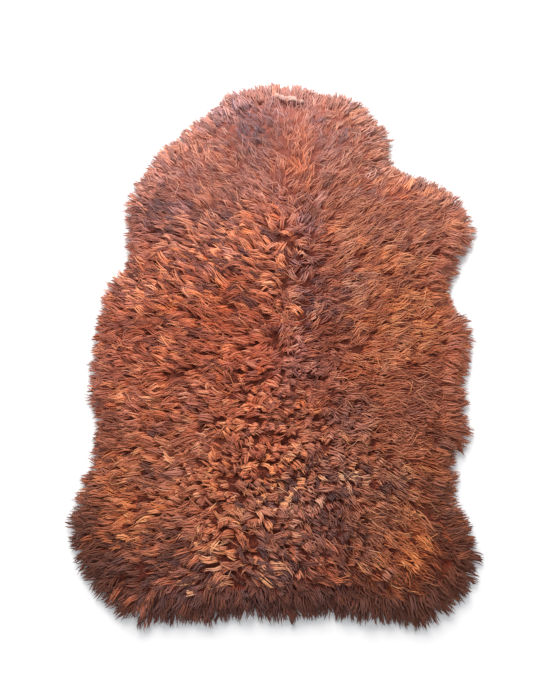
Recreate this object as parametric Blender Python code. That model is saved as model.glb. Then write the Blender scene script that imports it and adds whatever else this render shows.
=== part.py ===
"""A long-wool sheepskin rug that lies flat on its flesh side.

The whole rug is one closed solid in metres. Z is up, the neck points along +Y
and the rump along -Y. The flesh side is flat at height zero.
"""
import math
import random

import bmesh
import bpy
from mathutils import Vector, geometry

for thing in list(bpy.data.objects):
    bpy.data.objects.remove(thing, do_unlink=True)

# Heights of the hide and of the wool above the floor
HIDE_THICKNESS = 0.0025
LOWER_TIER_TOP = 0.014
UPPER_TIER_TOP = 0.027
FLEECE_HEIGHT = 0.0385
EDGE_ROUNDING = 0.060

# Locks along the rim, and tufts on the crown of the fleece
LOCK_COUNT = 150
LOCK_WANDER = 0.45
LOCK_REACH = 0.040
LOCK_TIP_WIDTH = 0.005
RIM_BULGE = 0.005
TUFT_SPACING = 0.028
TUFT_HEIGHT = 0.009
TUFT_LEAN = 0.007
FLOOR_GRID = 0.060

# The parting along the spine and the thin place in the wool at the neck
SPINE_X = 0.020
SPINE_DIP = 0.004
SPINE_WIDTH = 0.030
NECK_HOLLOW = Vector((0.015, 0.458))
NECK_HOLLOW_SIZE = Vector((0.042, 0.020))
NECK_HOLLOW_DEPTH = 0.013

# How far the wool reaches at each height along the spine
# Columns: place along the spine, reach to the left, reach to the right
FLANKS = (
    (0.430, 0.150, 0.172),
    (0.398, 0.188, 0.186),
    (0.373, 0.204, 0.215),
    (0.345, 0.244, 0.200),
    (0.306, 0.256, 0.217),
    (0.290, 0.274, 0.270),
    (0.268, 0.284, 0.302),
    (0.242, 0.288, 0.333),
    (0.230, 0.302, 0.336),
    (0.198, 0.290, 0.349),
    (0.171, 0.291, 0.354),
    (0.150, 0.289, 0.336),
    (0.133, 0.278, 0.332),
    (0.115, 0.287, 0.311),
    (0.096, 0.293, 0.311),
    (0.086, 0.320, 0.306),
    (0.062, 0.324, 0.292),
    (0.032, 0.327, 0.304),
    (0.010, 0.330, 0.325),
    (-0.020, 0.337, 0.331),
    (-0.055, 0.333, 0.324),
    (-0.080, 0.340, 0.321),
    (-0.100, 0.332, 0.309),
    (-0.130, 0.337, 0.308),
    (-0.158, 0.322, 0.313),
    (-0.185, 0.320, 0.318),
    (-0.208, 0.321, 0.310),
    (-0.230, 0.324, 0.282),
    (-0.262, 0.332, 0.283),
    (-0.295, 0.345, 0.282),
    (-0.320, 0.351, 0.291),
    (-0.345, 0.354, 0.303),
    (-0.375, 0.344, 0.312),
    (-0.400, 0.334, 0.315),
    (-0.420, 0.318, 0.303),
    (-0.445, 0.303, 0.290),
)

# Tips of the wool round the neck, from left to right
# Columns: place across, place along
NECK_TIPS = (
    (-0.112, 0.466),
    (-0.100, 0.484),
    (-0.065, 0.488),
    (-0.020, 0.500),
    (0.010, 0.488),
    (0.036, 0.493),
    (0.065, 0.475),
    (0.120, 0.472),
    (0.145, 0.458),
    (0.156, 0.438),
)

# Tips of the wool round the rump, from right to left
# Columns: place across, place along
RUMP_TIPS = (
    (0.265, -0.466),
    (0.234, -0.488),
    (0.199, -0.494),
    (0.141, -0.488),
    (0.077, -0.477),
    (0.047, -0.476),
    (-0.003, -0.486),
    (-0.062, -0.477),
    (-0.123, -0.490),
    (-0.150, -0.482),
    (-0.179, -0.488),
    (-0.203, -0.482),
    (-0.227, -0.500),
    (-0.246, -0.485),
    (-0.275, -0.467),
)

dice = random.Random(11)


def wool_landmarks():
    """Returns the tips of the wool clockwise, seen from above, from the neck."""
    right = [Vector((row[2], row[0])) for row in FLANKS]
    left = [Vector((-row[1], row[0])) for row in reversed(FLANKS)]
    neck = [Vector(row) for row in NECK_TIPS]
    rump = [Vector(row) for row in RUMP_TIPS]
    return neck + right + rump + left


def smooth_loop(points, steps):
    """Draws a rounded closed curve through the points."""
    count = len(points)
    curve = []
    for i in range(count):
        before, start, end, after = (points[(i + k) % count] for k in (-1, 0, 1, 2))
        for step in range(steps):
            t = step / steps
            pull = (end - before) * t
            bend = (2 * before - 5 * start + 4 * end - after) * t * t
            turn = (3 * start - before - 3 * end + after) * t * t * t
            curve.append(start + 0.5 * (pull + bend + turn))
    return curve


def even_loop(points, count, wander=0.0):
    """Returns spaced points on a closed curve, and where each lies on it.

    Each point may wander by a share of the spacing, so that no two are alike.
    """
    lengths = [0.0]
    for i, point in enumerate(points):
        lengths.append(lengths[-1] + (points[(i + 1) % len(points)] - point).length)
    total = lengths[-1]
    spaced = []
    places = []
    i = 0
    for k in range(count):
        goal = total * (k + dice.uniform(0.0, wander)) / count
        while lengths[i + 1] < goal:
            i += 1
        share = (goal - lengths[i]) / max(lengths[i + 1] - lengths[i], 1e-9)
        spaced.append(points[i].lerp(points[(i + 1) % len(points)], share))
        places.append(i + share)
    return spaced, places


def at_place(points, place):
    """Returns the point of a closed curve at a place that may lie between two."""
    low = math.floor(place)
    first = points[low % len(points)]
    second = points[(low + 1) % len(points)]
    return first.lerp(second, place - low)


def eased_loop(points, passes):
    """Rounds a closed curve by averaging each point with its neighbours."""
    count = len(points)
    for _ in range(passes):
        points = [
            0.5 * points[i] + 0.25 * (points[i - 1] + points[(i + 1) % count])
            for i in range(count)
        ]
    return points


def shrunk_loop(points, depth, steps=20):
    """Moves a clockwise closed curve inwards and rounds it on the way."""
    count = len(points)
    points = eased_loop(points, 30)
    for _ in range(steps):
        moved = []
        for i, point in enumerate(points):
            along = points[(i + 6) % count] - points[i - 6]
            inwards = Vector((along.y, -along.x)).normalized()
            moved.append(point + inwards * depth / steps)
        points = eased_loop(moved, 6)
    return points


def comb_direction(x, y):
    """Returns the way in which the wool lies, outwards from the spine."""
    way = Vector((x - SPINE_X, 0.5 * y + 0.02))
    return way.normalized() if way.length > 0.01 else Vector((0.0, 1.0))


def edge_distance(point, loop):
    """Returns the distance from a point to a closed curve."""
    nearest = 1.0
    for i, start in enumerate(loop):
        end = loop[(i + 1) % len(loop)]
        side = end - start
        share = (point - start).dot(side) / max(side.length_squared, 1e-12)
        foot = start.lerp(end, min(max(share, 0.0), 1.0))
        nearest = min(nearest, (point - foot).length)
    return nearest


def is_inside(point, loop):
    """Tells whether a point lies inside a closed curve."""
    inside = False
    for i, start in enumerate(loop):
        end = loop[(i + 1) % len(loop)]
        if (start.y > point.y) != (end.y > point.y):
            share = (point.y - start.y) / (end.y - start.y)
            if point.x < start.x + share * (end.x - start.x):
                inside = not inside
    return inside


def filled_loop(bm, loop, inner, upward):
    """Spans a closed loop of vertices with triangles over the inner vertices."""
    verts = list(loop) + list(inner)
    flat = [Vector((v.co.x, v.co.y)) for v in verts]
    edges = [(i, (i + 1) % len(loop)) for i in range(len(loop))]
    result = geometry.delaunay_2d_cdt(flat, edges, [], 1, 1e-7)
    for corners in result[2]:
        face = bm.faces.new([verts[result[3][i][0]] for i in corners])
        face.normal_update()
        if (face.normal.z > 0) != upward:
            face.normal_flip()


def fleece_height(x, y, inset):
    """Returns the height of the valleys between the tufts at one place."""
    rise = min(inset / EDGE_ROUNDING, 1.0)
    rise = rise * rise * (3 - 2 * rise)
    height = UPPER_TIER_TOP + (FLEECE_HEIGHT - UPPER_TIER_TOP) * rise
    height -= SPINE_DIP * math.exp(-(((x - SPINE_X) / SPINE_WIDTH) ** 2))
    across = (x - NECK_HOLLOW.x) / NECK_HOLLOW_SIZE.x
    along = (y - NECK_HOLLOW.y) / NECK_HOLLOW_SIZE.y
    height -= NECK_HOLLOW_DEPTH * math.exp(-(across**2) - along**2)
    height += 0.003 * math.sin(19 * x + 3) * math.sin(15 * y - 1)
    return height


def add_crown(bm, rim):
    """Covers the fleece with leaning tufts and valleys between them."""
    loop = [Vector((v.co.x, v.co.y)) for v in rim]
    row_step = TUFT_SPACING * math.sqrt(0.75)
    inner = []
    for row in range(-22, 23):
        for column in range(-16, 17):
            shift = 0.5 * TUFT_SPACING * (row % 2)
            base = Vector((column * TUFT_SPACING + shift, row * row_step))
            valley_up = base + Vector((0.0, row_step * 2 / 3))
            valley_down = base - Vector((0.0, row_step * 2 / 3))
            for kind, spot in ((1, base), (0, valley_up), (0, valley_down)):
                wander = 0.24 if kind else 0.12
                spot = spot + Vector(
                    (
                        dice.uniform(-wander, wander) * TUFT_SPACING,
                        dice.uniform(-wander, wander) * TUFT_SPACING,
                    )
                )
                if not is_inside(spot, loop):
                    continue
                inset = edge_distance(spot, loop)
                if inset < 0.008 + 0.002 * kind:
                    continue
                height = fleece_height(spot.x, spot.y, inset)
                if kind:
                    near = min(inset / 0.02, 1.0)
                    tall = TUFT_HEIGHT * dice.uniform(0.55, 1.2) * near
                    lean = min(TUFT_LEAN, 0.4 * inset) * dice.uniform(0.6, 1.1)
                    way = comb_direction(spot.x, spot.y)
                    spot = spot + way * lean
                    height += tall
                else:
                    height += dice.uniform(-0.0015, 0.0015)
                inner.append(bm.verts.new((spot.x, spot.y, height)))
    filled_loop(bm, rim, inner, True)


def add_lock(bm, root, middle, tip):
    """Draws one side of the rim out to a lock with four sides and a flat tip."""
    waist = [bm.verts.new(place) for place in middle]
    left, right = [bm.verts.new(place) for place in tip]
    for i in range(4):
        j = (i + 1) % 4
        bm.faces.new((root[i], root[j], waist[j], waist[i]))
    bm.faces.new((waist[0], waist[1], left))
    bm.faces.new((waist[1], waist[2], right, left))
    bm.faces.new((waist[2], waist[3], right))
    bm.faces.new((waist[3], waist[0], left, right))


def add_tier(bm, rings, curves, places, tier):
    """Adds the locks of one tier between a lower and an upper ring.

    The curves are the edge of the hide and the tips of the wool. A tier has
    a stagger, the shortest and longest locks as shares of their reach, and
    the sizes of the waist and the height of the tip of each lock.
    """
    low_ring, high_ring = rings
    edge, tips = curves
    count = len(low_ring)
    for i in range(count):
        j = (i + 1) % count
        start = places[i]
        pitch = (places[j] if j else places[0] + len(edge)) - start
        length = dice.uniform(tier["shortest"], tier["longest"])
        waist_out = tier["waist_reach"] * length
        waist_z = tier["waist_height"] + dice.uniform(-0.001, 0.001)
        low = waist_z - tier["waist_half"]
        high = waist_z + tier["waist_half"]
        shift = tier["stagger"] + dice.uniform(-0.13, 0.13)
        sides = []
        for side in (0.11, 0.89):
            place = start + (side + 0.2 * shift) * pitch
            sides.append(at_place(edge, place).lerp(at_place(tips, place), waist_out))
        place = start + (0.5 + shift) * pitch
        base = at_place(edge, place)
        end = base.lerp(at_place(tips, place), length)
        out = (end - base).normalized()
        room = (at_place(tips, start + pitch) - at_place(tips, start)).length
        across = 0.5 * min(LOCK_TIP_WIDTH, 0.3 * room) * Vector((out.y, -out.x))
        tip_z = tier["tip_height"] + dice.uniform(0.0, 0.002)
        root = (low_ring[i], high_ring[i], high_ring[j], low_ring[j])
        middle = (
            (sides[0].x, sides[0].y, low),
            (sides[0].x, sides[0].y, high),
            (sides[1].x, sides[1].y, high),
            (sides[1].x, sides[1].y, low),
        )
        tip = [(spot.x, spot.y, tip_z) for spot in (end - across, end + across)]
        add_lock(bm, root, middle, tip)


def make_sheepskin():
    """Makes the rug as one closed solid and returns its object."""
    tips, _ = even_loop(smooth_loop(wool_landmarks(), 12), 900)
    edge = shrunk_loop(tips, LOCK_REACH)
    stations, places = even_loop(edge, LOCK_COUNT, LOCK_WANDER)

    bm = bmesh.new()
    rings = []
    for out, height in (
        (0.0, 0.0),
        (0.0, HIDE_THICKNESS),
        (RIM_BULGE, LOWER_TIER_TOP),
        (0.3 * RIM_BULGE, UPPER_TIER_TOP),
    ):
        ring = []
        for station, place in zip(stations, places):
            spot = station + (at_place(tips, place) - station).normalized() * out
            ring.append(bm.verts.new((spot.x, spot.y, height)))
        rings.append(ring)

    cut_edge, lower_rim, middle_rim, upper_rim = rings
    for i in range(LOCK_COUNT):
        j = (i + 1) % LOCK_COUNT
        bm.faces.new((cut_edge[i], lower_rim[i], lower_rim[j], cut_edge[j]))

    lower = {
        "stagger": -0.10,
        "shortest": 0.94,
        "longest": 1.03,
        "waist_reach": 0.62,
        "waist_height": 0.0056,
        "waist_half": 0.0042,
        "tip_height": 0.0,
    }
    upper = {
        "stagger": 0.22,
        "shortest": 0.86,
        "longest": 1.0,
        "waist_reach": 0.58,
        "waist_height": 0.0192,
        "waist_half": 0.0050,
        "tip_height": 0.0085,
    }
    add_tier(bm, (lower_rim, middle_rim), (edge, tips), places, lower)
    add_tier(bm, (middle_rim, upper_rim), (edge, tips), places, upper)
    add_crown(bm, upper_rim)

    loop = [Vector((v.co.x, v.co.y)) for v in cut_edge]
    inner = []
    for row in range(-9, 10):
        for column in range(-7, 8):
            spot = Vector(((column + 0.5 * (row % 2)) * FLOOR_GRID, row * FLOOR_GRID))
            if is_inside(spot, loop) and edge_distance(spot, loop) > 0.3 * FLOOR_GRID:
                inner.append(bm.verts.new((spot.x, spot.y, 0.0)))
    filled_loop(bm, cut_edge, inner, False)

    bmesh.ops.triangulate(bm, faces=bm.faces[:])
    bmesh.ops.recalc_face_normals(bm, faces=bm.faces[:])
    low = Vector([min(v.co[k] for v in bm.verts) for k in range(3)])
    high = Vector([max(v.co[k] for v in bm.verts) for k in range(3)])
    middle = 0.5 * (low + high)
    bmesh.ops.translate(bm, verts=bm.verts[:], vec=(-middle.x, -middle.y, 0.0))

    mesh = bpy.data.meshes.new("sheepskin")
    bm.to_mesh(mesh)
    bm.free()
    mesh.shade_smooth()
    rug = bpy.data.objects.new("sheepskin", mesh)
    bpy.context.scene.collection.objects.link(rug)
    return rug


def wool_material():
    """Returns a russet wool that scatters nearly all the light."""
    material = bpy.data.materials.new("wool")
    material.use_nodes = True
    shader = material.node_tree.nodes["Principled BSDF"]
    shader.inputs["Base Color"].default_value = (0.33, 0.10, 0.045, 1.0)
    shader.inputs["Roughness"].default_value = 0.75
    return material


sheepskin = make_sheepskin()
sheepskin.data.materials.append(wool_material())
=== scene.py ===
# %% [markdown]
# A long-wool sheepskin rug lies on a pale floor, wool side up, with its neck
# away from the camera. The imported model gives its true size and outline. This
# lesson dresses that model: a thin hide below, matted underwool on it, and
# thousands of wavy wisps on top, gathered into locks.

# %% Load the frame
import math

import bmesh
import bpy
import numpy as np
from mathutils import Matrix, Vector
from mathutils.bvhtree import BVHTree


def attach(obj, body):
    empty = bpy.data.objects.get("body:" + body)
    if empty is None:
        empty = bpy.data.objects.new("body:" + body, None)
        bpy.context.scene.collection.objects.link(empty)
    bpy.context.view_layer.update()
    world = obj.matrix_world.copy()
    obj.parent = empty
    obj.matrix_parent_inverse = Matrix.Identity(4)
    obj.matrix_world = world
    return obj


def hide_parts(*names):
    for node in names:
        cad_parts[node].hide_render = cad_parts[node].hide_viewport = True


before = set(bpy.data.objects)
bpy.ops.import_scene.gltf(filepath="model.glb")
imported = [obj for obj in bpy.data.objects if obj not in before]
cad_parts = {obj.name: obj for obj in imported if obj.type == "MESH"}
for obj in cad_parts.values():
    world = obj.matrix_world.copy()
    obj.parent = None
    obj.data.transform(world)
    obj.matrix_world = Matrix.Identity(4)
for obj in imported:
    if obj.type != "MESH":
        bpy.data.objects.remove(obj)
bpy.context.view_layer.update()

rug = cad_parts["sheepskin"]

# %% [markdown]
# The solid already knows where the hide ends and where each lock of the rim
# ends. A merged copy of its mesh gives both: the hide is the flat face at
# height zero, and a lock ends in a short edge far outside the hide.

# %% Read the edge of the hide from the solid
def merged_copy(mesh):
    """Returns the mesh with its loose triangles joined."""
    bm = bmesh.new()
    bm.from_mesh(mesh)
    bmesh.ops.remove_doubles(bm, verts=bm.verts[:], dist=1e-5)
    return bm


def edge_loop(bm):
    """Returns the outline of the flat underside, in order."""
    after = {}
    for face in bm.faces:
        if max(v.co.z for v in face.verts) < 1e-5:
            for loop in face.loops:
                others = [f for f in loop.edge.link_faces if f != face]
                if all(max(v.co.z for v in f.verts) > 1e-5 for f in others):
                    after[loop.vert] = loop.link_loop_next.vert
    start = vert = next(iter(after))
    outline = []
    while True:
        outline.append((vert.co.x, vert.co.y))
        vert = after[vert]
        if vert == start:
            return np.array(outline)


solid = merged_copy(rug.data)
hide_edge = edge_loop(solid)
surface = BVHTree.FromBMesh(solid)
print("hide outline of", len(hide_edge), "points")

# %% [markdown]
# Two maps on a fine grid answer every later question: how deep inside the
# hide a place is, and how high the fleece stands there. A grid is read much
# faster than the solid itself. The first map comes from the outline.

# %% Map the distance to the edge
CELL = 0.005
GRID_X = np.arange(-0.40, 0.4001, CELL)
GRID_Y = np.arange(-0.54, 0.5401, CELL)


def distance_inside(x, y):
    """Returns how far each place is inside the hide's edge, negative outside."""
    side = np.roll(hide_edge, -1, axis=0) - hide_edge
    best = np.full(x.shape, 1.0)
    inside = np.zeros(x.shape, bool)
    for (ax, ay), (sx, sy) in zip(hide_edge, side):
        share = ((x - ax) * sx + (y - ay) * sy) / (sx * sx + sy * sy)
        share = np.clip(share, 0, 1)
        best = np.minimum(best, np.hypot(x - ax - share * sx, y - ay - share * sy))
        crosses = (ay > y) != (ay + sy > y)
        inside ^= crosses & (x < ax + sx * (y - ay) / (sy if abs(sy) > 1e-12 else 1e-12))
    return np.where(inside, best, -best)


grid_x, grid_y = np.meshgrid(GRID_X, GRID_Y, indexing="ij")
inset_map = distance_inside(grid_x, grid_y)
print("deepest place inside the hide", round(float(inset_map.max()), 3), "m")

# %% [markdown]
# The second map drops a ray on the solid at each cell. It is then smoothed,
# because the wisps bring the small lumps, and the solid only the broad form.

# %% Map the height of the fleece
def blurred(grid, passes):
    """Smooths a grid by averaging each cell with its neighbours."""
    for _ in range(passes):
        wide = np.pad(grid, 1, mode="edge")
        grid = 0.5 * grid + 0.125 * (wide[2:, 1:-1] + wide[:-2, 1:-1]
                                     + wide[1:-1, 2:] + wide[1:-1, :-2])
    return grid


def on_grid(grid, x, y):
    """Reads a grid between its cells."""
    u = np.clip((x - GRID_X[0]) / CELL, 0, len(GRID_X) - 1.001)
    v = np.clip((y - GRID_Y[0]) / CELL, 0, len(GRID_Y) - 1.001)
    i, j = u.astype(int), v.astype(int)
    u, v = u - i, v - j
    low = grid[i, j] * (1 - u) + grid[i + 1, j] * u
    high = grid[i, j + 1] * (1 - u) + grid[i + 1, j + 1] * u
    return low * (1 - v) + high * v


def height_below(x, y):
    """Returns the height of the solid below one place."""
    hit = surface.ray_cast(Vector((x, y, 0.2)), Vector((0, 0, -1)))[0]
    return hit.z if hit else 0.0


height_map = blurred(np.vectorize(height_below, otypes=[float])(grid_x, grid_y), 12)
print("highest fleece", round(float(height_map.max()) * 1000), "mm")

# %% [markdown]
# The wool is combed outwards from a parting, so one small function gives the
# way it lies at any place. A short table tells how steeply it lies towards
# the neck on each side: steeply at the neck, level on the flanks and a little
# backwards on the rump. At the rim it turns straight over the edge.

# %% Comb the wool
# Columns: place along, lie towards the neck on the left and on the right, in degrees
COMB = np.array([(0.45, 52, 48), (0.35, 45, 42), (0.26, 37, 27), (0.17, 28, 18),
                 (0.09, 24, 17), (0.01, 18, 13), (-0.07, 7, 0), (-0.14, 3, -7),
                 (-0.21, 2, -14), (-0.28, 0, -29), (-0.35, -4, -38), (-0.42, -18, -34)])[::-1]
rim_x, rim_y = [blurred(-g, 16) for g in np.gradient(inset_map, CELL)]


def blend(low, high, value):
    """Eases from 0 below low to 1 above high."""
    share = np.clip((value - low) / (high - low), 0, 1)
    return share * share * (3 - 2 * share)


def comb(x, y, pull=0.8):
    """Returns the unit way in which the wool lies at each place."""
    left, right = [np.radians(np.interp(y, COMB[:, 0], COMB[:, k])) for k in (1, 2)]
    parting = 0.020 - 0.085 * (1 - blend(-0.14, 0.02, y))
    wide = 0.004 + 0.060 * blend(0.10, 0.36, y)
    share = blend(-1, 1, (x - parting) / wide)
    cx = share * np.cos(right) - (1 - share) * np.cos(left)
    cy = share * np.sin(right) + (1 - share) * np.sin(left)
    pull = pull * np.exp(-np.maximum(on_grid(inset_map, x, y), 0) / 0.020)
    cx = cx + pull * on_grid(rim_x, x, y)
    cy = cy + pull * on_grid(rim_y, x, y)
    length = np.maximum(np.hypot(cx, cy), 1e-4)
    return cx / length, cy / length


print("wool at the neck lies", comb(np.array([0.02]), np.array([0.4])))

# %% [markdown]
# Nothing in a fleece is even. A few long sine waves in random ways add up to
# a smooth field of values, which later turns the comb a little, raises lumps
# and shifts the colour. A second helper makes a soft round hill. A third says
# how uneven the wool is: fine and smooth at the neck and on the right, loose
# and lumpy on the left flank and the rump.

# %% Make smooth randomness
def noise(x, y, size, seed):
    """Returns smooth values from about -1 to 1 that change over the given size."""
    dice = np.random.default_rng(seed)
    total = np.zeros(np.shape(x))
    for _ in range(7):
        turn, phase = dice.uniform(0, 2 * math.pi, 2)
        pace = 2 * math.pi / (size * dice.uniform(0.7, 1.6))
        total = total + np.sin(pace * (x * math.cos(turn) + y * math.sin(turn)) + phase)
    return total / 2.6


def hill(x, y, place, wide, long):
    """Returns a round hill that is 1 at its top and fades outwards."""
    return np.exp(-(((x - place[0]) / wide) ** 2) - ((y - place[1]) / long) ** 2)


def lively(x, y):
    """Returns how uneven the wool is, about 1 on the left and less elsewhere."""
    flank = (1 - blend(-0.02, 0.09, x)) * (1 - blend(0.14, 0.28, y))
    uneven = np.maximum(flank, 0.60 * hill(x, y, (0.03, -0.20), 0.10, 0.16))
    return 0.42 + 0.58 * uneven - 0.25 * hill(x, y, (0.232, 0.253), 0.022, 0.022)


print("noise at one place", noise(0.1, 0.2, 0.05, 1).round(2))

# %% [markdown]
# One wisp is modelled once: a triangle is extruded four times, each new end is
# made wider or narrower, and the last one is merged to a point. It stands from
# height 0 to 1 and is later bent along every path. A second one, a little
# blunter, serves for the rump and for the locks of the rim.

# %% Model the wisps
def deselect():
    """Leaves nothing selected and no object in edit mode."""
    if bpy.context.object and bpy.context.object.mode != "OBJECT":
        bpy.ops.object.mode_set(mode="OBJECT")
    bpy.ops.object.select_all(action="DESELECT")


def model_wisp(name, sides, rings):
    """Models a pointed wisp of unit height from (height, width) pairs."""
    deselect()
    bpy.ops.mesh.primitive_circle_add(vertices=sides, radius=rings[0][1], fill_type="NGON")
    wisp = bpy.context.object
    wisp.name = name
    bpy.ops.object.mode_set(mode="EDIT")
    bpy.ops.mesh.select_all(action="SELECT")
    for (low, wide), (high, next_wide) in zip(rings, rings[1:]):
        step = {"value": (0, 0, high - low)}
        bpy.ops.mesh.extrude_region_move(TRANSFORM_OT_translate=step)
        share = max(next_wide, 1e-5) / wide
        bpy.ops.transform.resize(value=(share, share, 1))
    bpy.ops.mesh.merge(type="CENTER")
    bpy.ops.mesh.select_all(action="SELECT")
    bpy.ops.mesh.normals_make_consistent(inside=False)
    bpy.ops.object.mode_set(mode="OBJECT")
    return wisp


slim_object = model_wisp("slim_wisp", 3, ((0, 0.6), (0.34, 1.0), (0.62, 0.95),
                                          (0.86, 0.58), (1, 0)))
blunt_object = model_wisp("blunt_wisp", 3, ((0, 0.7), (0.34, 1.0), (0.64, 0.96),
                                            (0.88, 0.62), (1, 0)))
print("modelled", slim_object.name, "and", blunt_object.name)

# %% [markdown]
# Each wisp also gets a flat layout for its finish: its three sides unrolled
# beside each other. Later every copy has a small cell of its own for that
# layout, so that no two wisps share a place.

# %% Unroll the wisps
def unrolled(wisp):
    """Returns for each face corner its place across and along the unrolled wisp."""
    sheet = []
    for face in wisp.data.polygons:
        spots = [wisp.data.vertices[i].co for i in face.vertices]
        if max(p.z for p in spots) < 1e-6:
            sheet += [(0.1 + 0.2 * k, 0.01 * (k % 2)) for k in range(len(spots))]
            continue
        around = [round(math.atan2(-p.x, p.y) / (2 * math.pi) * 3) % 3 for p in spots]
        ends = sorted({a for a, p in zip(around, spots) if p.z < 0.999})
        last = 3 if ends == [0, 2] else ends[-1]
        first = last - 1
        for a, p in zip(around, spots):
            a = first + 0.5 if p.z > 0.999 else (3 if last == 3 and a == 0 else a)
            sheet.append((a / 3, 0.02 + 0.98 * p.z))
    return np.array(sheet)


def taken_apart(wisp):
    """Returns the points, faces and layout of a wisp, and removes the object."""
    points = np.array([v.co for v in wisp.data.vertices])
    faces = [tuple(p.vertices) for p in wisp.data.polygons]
    layout = unrolled(wisp)
    bpy.data.objects.remove(wisp)
    return points, faces, layout


SLIM = taken_apart(slim_object)
BLUNT = taken_apart(blunt_object)
print("wisp:", len(SLIM[0]), "points and", len(SLIM[1]), "faces")

# %% [markdown]
# The wisps of one piece are copies of that model, each bent along its own
# path. The path is a curve with four control points. Across it a wisp can be
# offset, gathered towards the middle of its lock, and waved. Unlike hair
# curves, each copy is a closed mesh. Hair curves would
# draw such wool as well, but only a closed mesh can be exported and reused.

# %% Bend copies of a wisp along paths
def curve_at(path, t):
    """Returns places and directions on cubic curves, one row of t a curve."""
    a, b, c, d = (p[:, None, :] for p in path)
    t = t[:, :, None]
    s = 1 - t
    place = s**3 * a + 3 * s * s * t * b + 3 * s * t * t * c + t**3 * d
    way = 3 * (s * s * (b - a) + 2 * s * t * (c - b) + t * t * (d - c))
    return place, way / np.maximum(np.linalg.norm(way, axis=2, keepdims=True), 1e-9)


def bent_copies(points, wisps):
    """Bends one copy of the points for each wisp and returns all the points."""
    column = {k: v[:, None] for k, v in wisps.items() if k not in ("path", "comb")}
    t = points[None, :, 2] * column["end"]
    place, way = curve_at(wisps["path"], t)
    level = np.zeros((len(t), 1, 3))
    level[:, 0, 0] = -wisps["comb"][:, 1]
    level[:, 0, 1] = wisps["comb"][:, 0]
    up = np.cross(way, level)
    up /= np.maximum(np.linalg.norm(up, axis=2, keepdims=True), 1e-9)
    side = np.cross(up, way)
    gather = column["gather"] * t**1.6
    wave = 2 * math.pi * (t * column["waves"] + column["phase"])
    swing = column["crimp"] * (0.25 + 0.75 * t)
    across = column["across"] * (1 - gather) + column["splay"] * t**2 + swing * np.sin(wave)
    lift = column["lift"] * (1 - 0.5 * gather) + 0.6 * swing * np.cos(wave)
    across = across + points[None, :, 0] * 0.5 * column["width"]
    lift = lift + points[None, :, 1] * 0.5 * column["thick"]
    return place + side * across[:, :, None] + up * lift[:, :, None]


print("a straight path is halfway at", curve_at(
    [np.array([[0.0, 0, k]]) for k in range(4)], np.array([[0.5]]))[0].ravel())

# %% [markdown]
# All bent copies of a piece become one joined mesh. Writing the numbers of
# the mesh in one go takes a fraction of a second even for thousands of wisps.

# %% Join the copies
def in_cells(layout, count):
    """Lays out one copy of the layout a cell, in rows of narrow cells."""
    columns = math.ceil(math.sqrt(count * 4.5))
    rows = math.ceil(count / columns)
    cell = np.arange(count)
    low = np.stack([(cell % columns) / columns, (cell // columns) / rows], 1)
    size = np.array([1 / columns, 1 / rows])
    return low[:, None, :] + size * (0.06 + 0.88 * layout[None, :, :])


def joined_mesh(name, model, places):
    """Makes one object of all the copies."""
    points, faces, layout = model
    count = len(places)
    corners = np.array([v for face in faces for v in face])
    sizes = np.tile([len(face) for face in faces], count)
    corners = np.arange(count)[:, None] * len(points) + corners
    mesh = bpy.data.meshes.new(name)
    mesh.vertices.add(count * len(points))
    mesh.vertices.foreach_set("co", places.astype(np.float32).ravel())
    mesh.loops.add(corners.size)
    mesh.loops.foreach_set("vertex_index", corners.astype(np.int32).ravel())
    mesh.polygons.add(len(sizes))
    starts = np.concatenate([[0], np.cumsum(sizes)[:-1]])
    mesh.polygons.foreach_set("loop_start", starts.astype(np.int32))
    mesh.update(calc_edges=True)
    unwrapped = mesh.uv_layers.new(name="OFBake")
    unwrapped.uv.foreach_set("vector", in_cells(layout, count).astype(np.float32).ravel())
    mesh.shade_smooth()
    piece = bpy.data.objects.new(name, mesh)
    bpy.context.scene.collection.objects.link(piece)
    return piece


print("cells for 4 wisps start at", in_cells(SLIM[2], 4)[:, 0].round(2).tolist())

# %% [markdown]
# The colour of the wool is stored along the strands: dark and red-brown at
# the root, which is painted shade, rust in the middle, brighter at the outside.
# The wool is brighter or darker in broad patches. Each one is a soft round hill
# in a short table, which is easy to change by hand.

# %% Lay out the bright and dark patches
# Columns in centimetres: place across, place along, half width, half length;
# then in percent: brighter
BRIGHT_PATCHES = 0.01 * np.array((
    (-6, 38.5, 5, 5, -50), (7.5, 40, 2, 2, -30), (4, 35, 2.5, 6, 34),
    (-1, 31, 3, 3, 18), (22, 27, 3, 3, 16), (-24, 21, 5, 5, -36),
    (-11.5, 23.5, 3, 2.5, -18), (-10, 18.5, 3.5, 2, 12), (1, 19, 5, 4, 14),
    (5, 19.5, 2.4, 4, -50), (11, 18.5, 3, 2.5, 14), (16, 15, 4, 3, 18),
    (0, 13, 3, 3, 14), (-15, 10, 7, 5, 5), (4.5, 2, 2, 2.5, 12), (8, 3, 5, 8, -26),
    (-16, -1, 3, 3, -12), (-29, 0, 4, 7, -20), (-11, -1, 3, 4, -12), (18, -7, 5, 4, 12),
    (23, 3, 6, 10, 12), (3, -10, 6, 6, -18), (-1, -18.5, 2.5, 1.5, -20),
    (10, -17.5, 3.5, 3, -26), (-9, -17.5, 3, 3, 24), (-21, -18, 3, 2, -22),
    (24, -17, 5, 8, -16), (-3, -23, 5, 3, 18), (24, -24, 3, 3, 18),
    (11.5, -26, 5, 3.5, -17), (-24, -26, 2, 2, -24), (-28, -28, 5, 6, 13),
    (-7, -35, 3.5, 3.5, 20), (8, -36, 7, 4, -36), (-20, -36, 3, 5, -20),
    (-29, -38, 5, 5, -10), (-22, -41, 6, 3, -32), (0, -41, 5, 3, -20),
    (7.5, -42, 3, 2, 18), (21, -40, 5, 4, 18), (32, -31, 4, 9, 24), (17, -47, 6, 3, 16),
))
print(len(BRIGHT_PATCHES), "bright and dark patches")

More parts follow.
